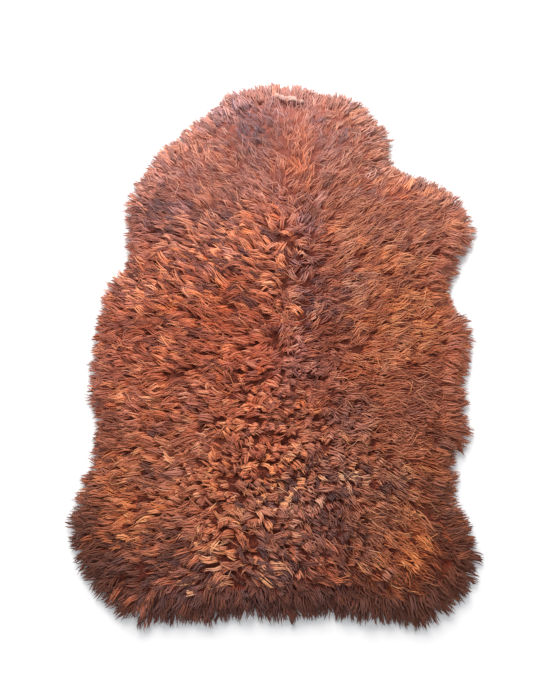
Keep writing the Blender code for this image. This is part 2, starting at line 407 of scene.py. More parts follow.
# %% [markdown]
# A second table shifts the hue in the same way. A warmer patch goes from brown
# towards orange, and a redder one towards rust.

# %% Lay out the patches of hue
# Columns in centimetres: place across, place along, half width, half length;
# then in percent: warmer, redder
HUE_PATCHES = 0.01 * np.array((
    (-13, 4, 13, 15, 66, 25), (-20, 1, 6, 5, 25, 0), (-16, 12, 6, 4, -25, 10),
    (-1, 20, 5, 5, 45, 40), (5, 20, 2.5, 3.5, -20, 0), (-3, -8, 5, 8, 30, 30),
    (-2, -23, 6, 4, 35, 45), (12, -6, 4, 6, 10, 0), (25, -3, 6, 10, 10, -25),
    (23, 26, 3.5, 3.5, 80, 45), (15, 19, 11, 9, 22, -12), (-29, -29, 6, 9, 25, -30),
    (-29, -39, 6, 6, 80, -15), (23, -36, 5, 6, 45, -20), (29, -41, 8, 9, 75, 10),
    (9, -41, 4, 3, 50, 40), (5, 8, 3, 9, -65, 0), (3, -2, 4, 8, -75, 0),
    (14, 7, 3, 5, -50, 0), (2, 34, 4, 7, 65, 20), (-4, 43, 9, 5, -55, 0),
    (8, -29, 12, 11, -55, 0), (-12, -43, 10, 5, -50, 0),
))
print(len(HUE_PATCHES), "patches of hue")

# %% [markdown]
# Finer changes follow the comb. Noise that is averaged along the lie of the
# wool, which sways a little, turns into streaks of brightness and of height.
# Low ridges run across the rump, and their tops are painted a little lighter as
# painted light. The neck is painted with a rosy haze of light, and the lower
# half, the edges of the lower half and most of all the hanging wool of the rump
# are painted darker as shade.

# %% Read the tone of the wool
def combed_noise(x, y, size, reach, seed):
    """Returns noise that is drawn out along the way the wool lies."""
    cx, cy = comb(x + 0.03 * noise(x, y, 0.07, 33), y)
    steps = np.linspace(-reach, reach, 9)
    return sum(noise(x + s * cx, y + s * cy, size, seed) for s in steps) / 5


def shelves(x, y):
    """Returns the low ridges that run across the rump."""
    return hill(x, y, (0.0, -0.24), 0.16, 0.17) * noise(0.35 * x, y, 0.022, 42)


def relief(x, y):
    """Returns how much the wool stands above the solid at each place."""
    waves = 0.0036 * lively(x, y) * combed_noise(x, y, 0.016, 0.032, 41)
    return on_grid(height_map, x, y) + waves + 0.0038 * shelves(x, y)


def patchwork(x, y, patches, column=4):
    """Adds up one column of the patches at each place."""
    return sum(p[column] * hill(x, y, p[:2], p[2], p[3]) for p in patches)


def tone(x, y):
    """Returns how bright, warm and red the wool is at each place, with painted shade and light
    in the brightness, and the painted haze of light.
    """
    inset = on_grid(inset_map, x, y)
    patches = patchwork(x, y, BRIGHT_PATCHES)
    streaks = (0.20 + 0.53 * lively(x, y)) * combed_noise(x, y, 0.015, 0.038, 6)
    bright = 0.50 + patches + streaks
    # Painted shade: the hanging end of the rump, the edges of the lower half and the whole
    # lower half are darkened, as they face away from the light.
    end = 1 - blend(-0.40, -0.26, y)
    half = 1 - blend(-0.30, 0.0, y)
    bright = bright - 0.67 * end * (1 - blend(-0.030, 0.040, inset)) - 0.08 * half
    bright = bright - 0.20 * (1 - end) * half * (1 - blend(-0.02, 0.03, inset))
    # Painted light: the tops of the ridges across the rump are lightened.
    bright = bright + 0.10 * shelves(x, y)
    warm = patchwork(x, y, HUE_PATCHES) + 1.2 * patches + 0.5 * streaks
    warm = warm + 0.16 * noise(x, y, 0.10, 8) + 0.18 * noise(x, y, 0.030, 9)
    warm = warm + 0.26 * noise(x, y, 0.015, 10)
    red = patchwork(x, y, HUE_PATCHES, 5) - 0.45 * (1 - blend(-0.30, -0.05, y))
    # The last value is the painted haze of light, growing towards the neck.
    return bright, warm, red - 0.30 * blend(0.04, 0.16, x), blend(-0.02, 0.46, y)


print("tone at the neck and the rump:", tone(0.0, 0.4), tone(0.0, -0.45))

# %% [markdown]
# Three colours carry the whole fleece, from dark to bright. A warm wisp moves
# from brown towards orange, and one under the painted haze of light is paler
# and greyer. The root of every wisp is painted dark as shade, where the locks
# shadow it.

# %% Mix the colours of the wool
def linear(red, green, blue):
    """Turns a screen colour from 0 to 255 into the numbers of light."""
    value = np.array([red, green, blue]) / 255
    return np.where(value <= 0.04045, value / 12.92, ((value + 0.055) / 1.055) ** 2.4)


# The first colour is painted shade at the root of every wisp, and the two rosy colours are the
# painted haze of light at the neck, for the root and for the tip.
PAINTED_ROOT_SHADE = linear(138, 52, 35)
UMBER = linear(112, 68, 60)
RUST = linear(192, 112, 86)
EMBER = linear(243, 169, 124)
HAZED_ROOT_SHADE = linear(182, 112, 100)
PAINTED_HAZE_TIP = linear(240, 190, 180)


def wool_colour(bright, warm, red, rosy, along):
    """Returns the colour of the wool for each point of each wisp."""
    b = np.clip(bright, 0, 1.05)[..., None]
    colour = np.where(b < 0.5, UMBER + (RUST - UMBER) * (b / 0.5),
                      RUST + (EMBER - RUST) * ((b - 0.5) / 0.5))
    rosy = rosy[..., None]
    # Painted haze of light: paler and rosier towards the neck.
    colour = colour + 0.52 * rosy * (PAINTED_HAZE_TIP * (0.45 + 0.75 * b) - colour)
    # Painted shade: each wisp darkens towards its root, where the locks shadow it, less so
    # under the haze.
    base = PAINTED_ROOT_SHADE + 0.80 * rosy * (HAZED_ROOT_SHADE - PAINTED_ROOT_SHADE)
    colour = base + (colour - base) * blend(0.0, 0.36, along)[..., None]
    hue = np.clip(warm, -1.2, 1.4)[..., None] * np.array([0.05, -0.16, -0.42])
    return colour * np.exp(hue + red[..., None] * np.array([0.03, -0.13, 0.02]))


print("a rust wisp halfway:", wool_colour(
    np.array([0.5]), *np.zeros((3, 1)), np.array([0.5])).round(3))

# %% [markdown]
# A staple is one lock of wool. It is rooted in the hide, rises through the
# underwool and bends over in the way it is combed. It has one broad wisp as
# its body and two to five thin ones beside it. They wave together and gather
# towards the tip, so they taper like a flame. Where the wool is calm, the thin
# ones spread and part again, as after a fine comb.

# %% Fill staples with wisps
WISP_SHADE = 0.11


def fill_staples(staples, dice):
    """Returns the wisps of all the staples, with the look of each."""
    owner = np.repeat(np.arange(len(staples["count"])), staples["count"])
    first = np.concatenate([[0], np.cumsum(staples["count"])[:-1]])
    of = {k: v[owner] for k, v in staples.items() if k != "path"}
    total = len(owner)
    rank = np.arange(total) - first[owner]
    seat = 2 * (rank + dice.uniform(0.15, 0.85, total)) / of["count"] - 1
    body = (rank == 0) & (of["count"] > 1)
    seat = np.where(body, 0.2 * seat, seat)
    calm = np.clip((1.05 - of["rough"]) / 0.47, 0, 1)
    shade = of["rough"] * np.where(body, -0.05, dice.normal(0, WISP_SHADE, total))
    width = np.where(body, dice.uniform(0.38, 0.62, total) + 0.24 * of["puffy"],
                     dice.uniform(0.20, 0.36, total) * (1 + 0.1 * of["puffy"]))
    width = np.where(of["count"] == 1, 1.0, width) * of["wide"]
    height = np.where(body, 0.0, 0.06 + 0.09 * (1 - seat**2))
    return {
        "path": [p[owner] for p in staples["path"]], "comb": of["comb"],
        "end": 1 - of["ragged"] * np.where(body, 0.6, dice.uniform(0, 1, total) ** 1.4),
        "across": (0.52 + 0.45 * calm) * of["wide"] * seat,
        "splay": dice.normal(0, 0.12, total) * of["wide"] + of["hook"],
        "lift": (height + dice.normal(0, 0.05, total)) * of["wide"],
        "gather": np.clip(of["gather"] * (1 - 0.65 * calm)
                          + dice.normal(0, 0.12, total), 0, 0.95),
        "waves": of["waves"] * dice.uniform(0.9, 1.1, total),
        "phase": of["phase"] + (0.07 + 0.25 * calm) * dice.normal(0, 1, total),
        "crimp": of["crimp"] * dice.uniform(0.7, 1.3, total), "width": width,
        "thick": width * np.where(body, 0.38, 0.50), "bright": of["bright"] + shade,
        "warm": of["warm"] - 1.6 * shade + dice.normal(0, 0.06, total), "red": of["red"],
        "rosy": of["rosy"], "seed": dice.uniform(0, 1, total),
    }


print("wisps of one staple differ in brightness by about", WISP_SHADE)

# %% [markdown]
# A piece of wool is the wisps of many staples. Wool that would dip into the
# floor is pressed flat on it. Wool that lies deep between its neighbours gets
# a darker and redder tint, as little light reaches it. Tint and place along
# the strand are stored on the points, for the finish to read.

# %% Turn staples into a piece of wool
PRESSED = 0.002
LOST_IN_DEPTH = np.array([0.02, 0.36, 0.50])


def wool_piece(name, model, staples, dice):
    """Makes one joined piece of wool from staples, with its attributes."""
    wisps = fill_staples(staples, dice)
    points = model[0]
    places = bent_copies(points, wisps)
    high = places[..., 2]
    places[..., 2] = np.where(high < PRESSED, PRESSED * np.exp(high / PRESSED - 1), high)
    piece = joined_mesh(name, model, places)
    along = points[None, :, 2] * wisps["end"][:, None]
    level = {k: wisps[k][:, None] + 0 * along for k in ("bright", "warm", "red", "rosy")}
    tint = np.ones((*along.shape, 4), np.float32)
    tint[..., :3] = wool_colour(**level, along=along)
    sunk = relief(places[..., 0], places[..., 1]) + 0.001 - places[..., 2]
    tint[..., :3] *= 1 - blend(0.0, 0.010, sunk)[..., None] * LOST_IN_DEPTH
    tint[..., 3] = wisps["seed"][:, None]
    strand = np.zeros((*along.shape, 3), np.float32)
    strand[..., :2] = points[None, :, :2]
    strand[..., 2] = along
    for label, kind, field, values in (("wool_tint", "FLOAT_COLOR", "color", tint),
                                       ("strand", "FLOAT_VECTOR", "vector", strand)):
        stored = piece.data.attributes.new(label, kind, "POINT")
        stored.data.foreach_set(field, values.ravel())
    triangles = sum(len(p.vertices) - 2 for p in piece.data.polygons[:len(model[1])])
    print(name, len(along), "wisps,", len(along) * triangles, "triangles")
    return piece


print("wool is pressed flat below", PRESSED * 1000, "mm")

# %% [markdown]
# The staples stand on a loose honeycomb, as the follicles of a skin do.
# Groups of them lean together and make tufts, with a dark parting between one
# tuft and the next. The tufts come first.

# %% Lay out the tufts
STAPLE_SPACING = 0.0087
TUFT_SPACING = 0.026


def honeycomb(spacing, wander, dice):
    """Returns loosely spaced places over the whole rug."""
    rows = np.arange(-int(0.56 / (spacing * 0.866)), int(0.56 / (spacing * 0.866)) + 1)
    columns = np.arange(-int(0.42 / spacing), int(0.42 / spacing) + 1)
    r, c = np.meshgrid(rows, columns, indexing="ij")
    x = (c + 0.5 * (r % 2) + dice.uniform(-wander, wander, r.shape)) * spacing
    y = (0.866 * r + dice.uniform(-wander, wander, r.shape)) * spacing
    return x.ravel(), y.ravel()


dice = np.random.default_rng(4)
tuft_x, tuft_y = honeycomb(TUFT_SPACING, 0.40, dice)
tuft_count = len(tuft_x)
tufts = {
    "turn": dice.normal(0, 0.20, tuft_count),
    "lift": dice.normal(0, 0.0014, tuft_count),
    "bright": dice.normal(0, 0.11, tuft_count),
    "warm": dice.normal(0, 0.16, tuft_count),
}
print(tuft_count, "places for tufts")

# %% [markdown]
# At the neck a small flap of bare skin shows between the locks. Staples are
# planted all over the hide but for a narrow strip along that flap, and each
# belongs to the tuft that is nearest to it.

# %% Plant the staples of the fleece
FLAP = ((-0.020, 0.463), (0.041, 0.447))


def on_flap(share):
    """Returns the place at a share of the line of the bare flap."""
    return [a + share * (b - a) for a, b in zip(*FLAP)]


def off_flap(x, y):
    """Returns how far each place is from the line of the bare flap."""
    line_x, line_y = on_flap(np.clip((x - FLAP[0][0]) / (FLAP[1][0] - FLAP[0][0]), 0, 1))
    return np.hypot(x - line_x, y - line_y)


root_x, root_y = honeycomb(STAPLE_SPACING, 0.60, dice)
keep = on_grid(inset_map, root_x, root_y) > 0.002
keep &= off_flap(root_x, root_y + 0.007) > 0.009
root_x, root_y = root_x[keep], root_y[keep]
tuft = np.argmin((root_x[:, None] - tuft_x) ** 2 + (root_y[:, None] - tuft_y) ** 2, axis=1)
print(len(root_x), "staples in", len(np.unique(tuft)), "tufts")

# %% [markdown]
# Most staples lie over in the way they are combed. The root stands in the
# underwool, the strand rises a little, and the tip comes to rest on the
# neighbours, drawn towards the middle of its tuft. Every staple arches and
# sways by its own amount, most where the wool is rough.

# %% Bend the staples over
UP = np.array([0.0, 0.0, 1.0])
TUFT_PULL = 0.14
TUFT_AHEAD = 0.022


def joined(x, y, z=0.0):
    """Joins arrays into places, or into level directions."""
    return np.stack([x, y, z + np.zeros(len(x))], 1)


def turned(cx, cy, turn):
    """Turns level directions."""
    return cx * np.cos(turn) - cy * np.sin(turn), cx * np.sin(turn) + cy * np.cos(turn)


def combed_ways(x, y, tuft, loose, dice):
    """Returns the way in which each staple lies."""
    beside = x + 0.020 * noise(x, y, 0.06, 32) + dice.normal(0, 0.020, len(x))
    cx, cy = comb(beside, y)
    turn = 0.8 * tufts["turn"][tuft] + 0.22 * noise(x, y, 0.07, 31)
    return turned(cx, cy, turn + dice.normal(0, 1, len(x)) * loose)


def lying_path(x, y, cx, cy, reach, tuft, dice):
    """Returns the paths of staples that lie over and end on their neighbours."""
    count = len(x)
    way, side = joined(cx, cy), joined(-cy, cx)
    tip_x, tip_y = x + reach * cx, y + reach * cy
    tip_x = tip_x + TUFT_PULL * (tuft_x[tuft] + TUFT_AHEAD * cx - tip_x)
    tip_y = tip_y + TUFT_PULL * (tuft_y[tuft] + TUFT_AHEAD * cy - tip_y)
    here = relief(x, y)
    rough = lively(x, y)
    arch = dice.uniform(0, 1, count) * (0.2 + 0.8 * rough)
    tip_z = relief(tip_x, tip_y) + rough * tufts["lift"][tuft]
    rough = 0.0010 + 0.0011 * rough
    tip_z = np.maximum(tip_z + 0.001 + rough * dice.normal(0, 1, count) - 0.002 * arch, 0.006)
    start = joined(x, y, np.maximum(here - 0.018, 0.004))
    rise = start + 0.12 * reach[:, None] * way + UP * (0.015 + 0.006 * arch)[:, None]
    tip = joined(tip_x, tip_y, tip_z)
    sway = dice.normal(0, 0.26, count) * reach
    rim = 1 - blend(0.0, 0.07, on_grid(inset_map, x, y))
    droop = np.radians(4 - 28 * arch - 12 * rim) + dice.normal(0, 0.14, count)
    back = 0.42 * reach[:, None] * (np.cos(droop)[:, None] * way + np.sin(droop)[:, None] * UP)
    tip = tip + 0.5 * sway[:, None] * side
    return [start, rise, tip - back - 0.9 * sway[:, None] * side, tip]


print("the first staple is combed", [round(float(v), 2) for v in comb(root_x[:1], root_y[:1])])

# %% [markdown]
# On the rump, and here and there along the spine, the wool is curlier. A
# staple there rises, rolls over to one side and tucks its tip away, like a
# comma, so that from above it is a short round lump.

# %% Curl staples round
def curled_path(x, y, cx, cy, dice):
    """Returns the paths of staples that curl round and tuck their tips away."""
    count = len(x)
    reach = dice.uniform(0.008, 0.017, count)[:, None]
    turn = dice.choice([-1, 1], count) * dice.uniform(0.3, 1.0, count)
    way = reach * joined(cx, cy)
    side = reach * joined(-cy, cx) * turn[:, None]
    top = joined(x, y, relief(x, y))
    return [top - 0.016 * UP, top + 0.003 * UP + 0.3 * way,
            top + 0.006 * UP + 1.5 * way + 0.3 * side, top - 0.003 * UP + 0.9 * (way + side)]


CURLED_SHARE = {"rump": 0.45, "spine": 0.08}
print("share of curled staples:", CURLED_SHARE)

# %% [markdown]
# The choices for every staple are made together, as arrays: which way, how
# long, how wide, lying or curled, and its colour. Rump and spine are soft
# hills once more, so the wool changes slowly from one kind to the next.

# %% Choose how every staple grows
def gathered(path, cx, cy, **choices):
    """Joins the choices for all staples, and repeats plain values for each."""
    spread = {k: np.broadcast_to(v, len(cx)) for k, v in choices.items()}
    return {"path": path, "comb": np.stack([cx, cy], 1), **spread}


def crown_staples(x, y, tuft, dice):
    """Returns the staples that make the top of the fleece."""
    count = len(x)
    rump = hill(x, y, (0.0, -0.24), 0.13, 0.17)
    spine = hill(x, y, (0.025, 0.10), 0.030, 0.17)
    cx, cy = combed_ways(x, y, tuft, 0.18 + 0.25 * rump + 0.45 * spine, dice)
    reach = 0.040 - 0.017 * rump - 0.016 * spine - 0.010 * blend(0.20, 0.40, y)
    reach = reach * dice.uniform(0.65, 1.35, count)
    inset = on_grid(inset_map, x, y)
    reach = np.where(inset < 0.015, (inset + 0.030) * dice.uniform(0.7, 1.1, count), reach)
    curled = dice.uniform(0, 1, count) < (CURLED_SHARE["rump"] * rump
                                          + CURLED_SHARE["spine"] * spine)
    lying = lying_path(x, y, cx, cy, reach, tuft, dice)
    rolled = curled_path(x, y, cx, cy, dice)
    path = [np.where(curled[:, None], b, a) for a, b in zip(lying, rolled)]
    size = dice.choice([0.0062, 0.0088, 0.0124], count, p=[0.35, 0.42, 0.23])
    rough = lively(x, y)
    smooth = (1 - rough) / 0.58
    size = size * (1 - 0.22 * blend(0.20, 0.40, y)) * (0.66 + 0.34 * rough)
    shade = rough * dice.normal(0, 0.11, count)
    bright, warm, red, rosy = tone(path[3][:, 0], path[3][:, 1])
    return gathered(
        path, cx, cy,
        count=dice.choice([4, 5, 6], count, p=[0.3, 0.4, 0.3]),
        wide=np.where(curled, dice.uniform(0.9, 1.5, count) * size, size),
        ragged=np.where(curled, 0.10, 0.22 + 0.20 * smooth),
        gather=np.clip(dice.normal(0.62, 0.16, count), 0.1, 0.9) * np.where(curled, 0.5, 1),
        waves=dice.uniform(0.8, 1.8, count), phase=dice.uniform(0, 1, count),
        crimp=dice.uniform(0.0010, 0.0032, count), hook=dice.normal(0, 0.0040, count),
        puffy=blend(0.1, 0.8, rump) - smooth, rough=0.35 + 0.55 * rough,
        bright=bright + rough * tufts["bright"][tuft] + shade,
        warm=warm + tufts["warm"][tuft] - 0.3 * shade + dice.normal(0, 0.14, count),
        red=red, rosy=rosy)


crown = crown_staples(root_x, root_y, tuft, dice)
print("mean staple width", round(float(crown["wide"].mean()) * 1000, 1), "mm")

# %% [markdown]
# The crown is split into regions, so that each stays a light piece of its own.
# Only the rump takes the blunter wisp, because its curls end almost square.

# %% Make the fleece
def part_of(staples, chosen):
    """Returns only the chosen staples."""
    picked = {k: v[chosen] for k, v in staples.items() if k != "path"}
    picked["path"] = [p[chosen] for p in staples["path"]]
    return picked


left = root_x < 0.0
BANDS = (("neck", 0.27, 1.0), ("shoulder", 0.06, 0.27), ("flank", -0.15, 0.06),
         ("rump", -1.0, -0.15))
wool = []
for band, low, high in BANDS:
    here = (root_y > low) & (root_y <= high)
    for side_name, side in (("left", left), ("right", ~left)):
        name = "wool_" + side_name + "_" + band
        model = BLUNT if band == "rump" else SLIM
        wool.append(wool_piece(name, model, part_of(crown, here & side), dice))

# %% [markdown]
# Round the rim the locks hang past the hide and rest on the floor. The solid
# has one lock for each, so their ends give how far the wool reaches at every
# place of the edge. A place is known by its distance round the edge.

# %% Measure how far the rim reaches
edge_side = np.roll(hide_edge, -1, axis=0) - hide_edge
edge_run = np.concatenate([[0], np.cumsum(np.linalg.norm(edge_side, axis=1))])
EDGE_LENGTH = edge_run[-1]


def lock_tips(bm, low, high):
    """Returns the middle of the end of each solid lock between two heights."""
    tips = []
    for edge in bm.edges:
        heights = [v.co.z for v in edge.verts]
        middle = (edge.verts[0].co + edge.verts[1].co) / 2
        if min(heights) < low or max(heights) > high or edge.calc_length() > 0.0055:
            continue
        if on_grid(inset_map, np.array([middle.x]), np.array([middle.y]))[0] < -0.022:
            tips.append(tuple(middle)[:2])
    return np.array(tips)


def run_round_edge(points):
    """Returns how far round the edge the nearest place to each point is."""
    best = np.full(len(points), 1.0)
    run = np.zeros(len(points))
    for start, along, before in zip(hide_edge, edge_side, edge_run):
        share = np.clip(((points - start) @ along) / (along @ along), 0, 1)
        away = np.linalg.norm(points - start - share[:, None] * along, axis=1)
        closer = away < best
        best[closer] = away[closer]
        run[closer] = before + share[closer] * np.linalg.norm(along)
    return run


def edge_at(run):
    """Returns the place on the edge at each distance round it."""
    closed = np.vstack([hide_edge, hide_edge[:1]])
    return np.stack([np.interp(run % EDGE_LENGTH, edge_run, closed[:, k]) for k in (0, 1)], 1)


tips = lock_tips(solid, -0.001, 0.0022)
tip_run = run_round_edge(tips)
tip_past = tips - edge_at(tip_run)
print(len(tips), "lower locks round", round(float(EDGE_LENGTH), 2), "m of edge")

# %% [markdown]
# The wool of the rim hangs in six tiers like roof tiles. The lowest reaches
# a little past the solid locks and each one above is shorter, so that the rim
# slopes to the floor and no single lock stands out. Tips draw together into
# small clumps, and those that lie along the edge lean with the comb.

# %% Hang the wool of the rim
CLUMP = 0.015


def rim_staples(reaches, root_height, tip_height, spacing, dice):
    """Returns staples that hang from the edge over a share of the way out."""
    count = int(EDGE_LENGTH / spacing)
    run = (np.arange(count) + dice.uniform(0, 1, count)) * EDGE_LENGTH / count
    clump = CLUMP * np.round(run / CLUMP) - run
    past = np.stack([np.interp(run + 0.4 * clump, tip_run, tip_past[:, k], period=EDGE_LENGTH)
                     for k in (0, 1)], 1)
    foot = edge_at(run)
    away = np.linalg.norm(past, axis=1)
    turn = dice.normal(0, 0.22, count)
    way = past / away[:, None]
    cx, cy = comb(foot[:, 0], foot[:, 1], 0.0)
    lean = np.clip(way[:, 0] * cy - way[:, 1] * cx, -0.6, 0.6)
    cx, cy = turned(way[:, 0], way[:, 1], turn + 0.45 * lean)
    level = joined(cx, cy)
    root = joined(*foot.T, root_height) - 0.009 * level
    drawn = 1 - 0.12 * (2 * clump / CLUMP) ** 2
    reach = reaches * away * drawn * dice.uniform(0.95, 1.03, count)
    tip = joined(*foot.T, tip_height * dice.uniform(0.6, 1.4, count))
    tip = tip + (reach + 0.010)[:, None] * level
    reach = (reach + 0.012)[:, None]
    bright, warm, red, rosy = tone(tip[:, 0], tip[:, 1])
    sag = dice.uniform(0.05, 0.22, count)[:, None]
    return gathered(
        [root, root + 0.35 * reach * level + UP * (0.16 * reach),
         tip - 0.38 * reach * level + UP * (sag * reach), tip], cx, cy,
        count=dice.choice([3, 4, 5], count, p=[0.3, 0.4, 0.3]),
        wide=dice.uniform(0.0070, 0.0115, count), ragged=dice.uniform(0.02, 0.20, count),
        gather=np.clip(dice.normal(0.30, 0.18, count), 0.0, 0.8),
        waves=dice.uniform(1.0, 2.2, count), phase=dice.uniform(0, 1, count),
        crimp=dice.uniform(0.0012, 0.0034, count), hook=dice.normal(0, 0.006, count),
        puffy=0.0, rough=0.8, bright=bright + dice.normal(-0.03, 0.10, count),
        warm=warm + dice.normal(0, 0.15, count), red=red, rosy=rosy)


# Columns: share of the way out, height of the roots, height of the tips, spacing
TIERS = ((1.11, 0.006, 0.004, 0.0056), (1.00, 0.010, 0.008, 0.0078),
         (0.84, 0.014, 0.012, 0.0085), (0.67, 0.018, 0.016, 0.0090),
         (0.49, 0.021, 0.020, 0.0100), (0.32, 0.024, 0.023, 0.0120))
dice = np.random.default_rng(9)
tiers = [rim_staples(*tier, dice) for tier in TIERS]
rim = {k: np.concatenate([t[k] for t in tiers]) for k in tiers[0] if k != "path"}
rim["path"] = [np.concatenate(parts) for parts in zip(*(t["path"] for t in tiers))]
wool.append(wool_piece("wool_rim", BLUNT, rim, dice))

# %% [markdown]
# Single long hairs have worked loose from the locks. They wave over the wool
# and past the rim, and catch the light, which is painted into them as a paler
# colour. Each is a staple of one thin wisp, so the helpers above make them too.

# %% Scatter the stray hairs
STRAY_HAIRS = 1500
SHARE_AT_RIM = 0.35


def stray_hairs(count, dice):
    """Returns staples of one thin hair each."""
    run = dice.uniform(0, EDGE_LENGTH, count)
    edge = edge_at(run)
    pick = dice.integers(0, len(root_x), count)
    at_rim = dice.uniform(0, 1, count) < SHARE_AT_RIM
    x = np.where(at_rim, edge[:, 0], root_x[pick])
    y = np.where(at_rim, edge[:, 1], root_y[pick])
    cx, cy = combed_ways(x, y, tuft[pick], 0.45, dice)
    reach = dice.uniform(0.022, 0.046, count)
    tip_x, tip_y = x + reach * cx, y + reach * cy
    low = np.where(at_rim, dice.uniform(0.004, 0.020, count), relief(x, y))
    high = np.where(at_rim, low * dice.uniform(0.2, 0.9, count),
                    relief(tip_x, tip_y) + dice.uniform(0.001, 0.005, count))
    start = joined(x, y, low - 0.003)
    tip = joined(tip_x, tip_y, np.maximum(high, PRESSED))
    side = joined(-cy, cx) * (dice.normal(0, 0.3, count) * reach)[:, None]
    arch = UP * dice.uniform(0.002, 0.006, count)[:, None]
    bright, warm, red, rosy = tone(tip_x, tip_y)
    return gathered(
        [start, start + 0.33 * (tip - start) + arch + side,
         start + 0.70 * (tip - start) + arch - 0.7 * side, tip], cx, cy,
        count=1, wide=dice.uniform(0.0006, 0.0013, count), ragged=0.0, gather=0.0,
        waves=dice.uniform(1.0, 2.0, count), phase=dice.uniform(0, 1, count),
        crimp=dice.uniform(0.0006, 0.0020, count), hook=dice.normal(0, 0.004, count),
        # Painted highlight: each hair is paler than the wool around it.
        puffy=0.0, rough=1.0, bright=bright + dice.uniform(0.1, 0.5, count), warm=warm,
        red=red, rosy=rosy)


wool.append(wool_piece("wool_stray", SLIM, stray_hairs(STRAY_HAIRS, dice), dice))

# %% [markdown]
# The underwool and the hide share one outline. A helper fills it and extrudes
# it to a slab. Another adds a modifier to a piece and applies it at once, so
# that the mesh can then be shaped point by point.

# %% Model slabs
def slab(name, outline, bottom, top):
    """Models a closed slab on an outline."""
    deselect()
    mesh = bpy.data.meshes.new(name)
    count = len(outline)
    mesh.from_pydata([(x, y, bottom) for x, y in outline],
                     [(i, (i + 1) % count) for i in range(count)], [])
    piece = bpy.data.objects.new(name, mesh)
    bpy.context.scene.collection.objects.link(piece)
    bpy.context.view_layer.objects.active = piece
    piece.select_set(True)
    bpy.ops.object.mode_set(mode="EDIT")
    bpy.ops.mesh.select_all(action="SELECT")
    bpy.ops.mesh.edge_face_add()
    bpy.ops.mesh.extrude_region_move(TRANSFORM_OT_translate={"value": (0, 0, top - bottom)})
    bpy.ops.mesh.select_all(action="SELECT")
    bpy.ops.mesh.normals_make_consistent(inside=False)
    bpy.ops.object.mode_set(mode="OBJECT")
    return piece


def add_modifier(piece, kind, **settings):
    """Adds a modifier to a piece and applies it."""
    deselect()
    bpy.context.view_layer.objects.active = piece
    modifier = piece.modifiers.new(kind.lower(), kind)
    for key, value in settings.items():
        setattr(modifier, key, value)
    bpy.ops.object.modifier_apply(modifier=modifier.name)


def points_of(piece):
    """Returns the places of all points of a piece."""
    return np.array([v.co for v in piece.data.vertices])


def move_points(piece, co):
    """Moves the points of a piece."""
    piece.data.vertices.foreach_set("co", co.astype(np.float32).ravel())
    piece.data.update()


HIDE_TOP = 0.0024
MAT_BOTTOM = 0.0026
print("the underwool starts", round((MAT_BOTTOM - HIDE_TOP) * 1000, 1), "mm over the hide")

# %% [markdown]
# Below the locks lies the matted underwool, lumpy and painted dark as the shade
# between the locks. Its slab is remeshed into even cells, and its top then
# follows the fleece a little below the tips. Its flat underside is never seen,
# so one large face is enough. Without it the pale hide would shine through
# wherever the locks part.

# %% Make the underwool
underwool = slab("underwool", hide_edge, MAT_BOTTOM, 0.020)
add_modifier(underwool, "REMESH", mode="VOXEL", voxel_size=0.006)
co = points_of(underwool)
share = blend(0.3, 1.0, (co[:, 2] - MAT_BOTTOM) / 0.017)
top = relief(co[:, 0], co[:, 1]) - 0.0048
top = top + 0.0016 * noise(co[:, 0], co[:, 1], 0.018, 21)
co[:, 2] = MAT_BOTTOM + share * np.maximum(top - MAT_BOTTOM, 0.004)
move_points(underwool, co)
add_modifier(underwool, "DECIMATE", decimate_type="DISSOLVE", angle_limit=math.radians(0.5))
underwool.data.shade_smooth()
print("underwool", len(underwool.data.polygons), "faces")

# %% [markdown]
# The hide is the tanned skin itself, a little over two millimetres thick. Its
# flesh side lies flat on the floor, and its cut edge is slightly rounded. A
# plain sheet of no thickness would do from above, but the edge and the flesh
# side show as soon as the rug is picked up.

# %% Make the hide
hide = slab("hide", hide_edge, 0.0, HIDE_TOP)
add_modifier(hide, "BEVEL", width=0.0008, segments=2, limit_method="ANGLE")
print("hide", len(hide.data.polygons), "faces")

# %% [markdown]
# The bare flap at the neck is thin, crumpled skin that bulges up between the
# locks. It starts as a small grid, whose rows rise out of the hide and bend
# over the wool. It is then made solid and joined to the hide, because it is
# the same skin.

# %% Make the bare flap
# Columns: share of the way out, place along in metres, share of the height
BULGE = np.array([(0, 0.002, 0), (0.5, 0.004, 0.92), (0.7, 0.002, 1.02), (1, -0.006, 0.97)])

deselect()
bpy.ops.mesh.primitive_grid_add(x_subdivisions=22, y_subdivisions=9, size=1)
flap = bpy.context.object
co = points_of(flap)
along, out = co[:, 0] + 0.5, co[:, 1] + 0.5
x, y = on_flap(along)
y = y + 0.002 * np.sin(12 * along)
crumple = 0.0016 * noise(x, y + 0.03 * out, 0.013, 51)
high = relief(x, y) + 0.002 + crumple
narrow = 0.5 + 0.5 * np.sin(math.pi * along) ** 0.5
co[:, 0] = x + 0.001 * noise(x, 0.03 * out, 0.02, 52)
forward, rise = [np.interp(out, BULGE[:, 0], BULGE[:, k]) for k in (1, 2)]
co[:, 1] = y + forward * narrow
co[:, 2] = HIDE_TOP / 2 + (high - HIDE_TOP / 2) * rise
move_points(flap, co)
add_modifier(flap, "SOLIDIFY", thickness=0.0014, offset=0)
flap.data.shade_smooth()
deselect()
flap.select_set(True)
hide.select_set(True)
bpy.context.view_layer.objects.active = hide
bpy.ops.object.join()
print("hide and flap", len(hide.data.polygons), "faces")

# %% [markdown]
# Shader maths reads best as plain sums, so a small class wraps a socket and
# adds a node for each plus, minus and times.

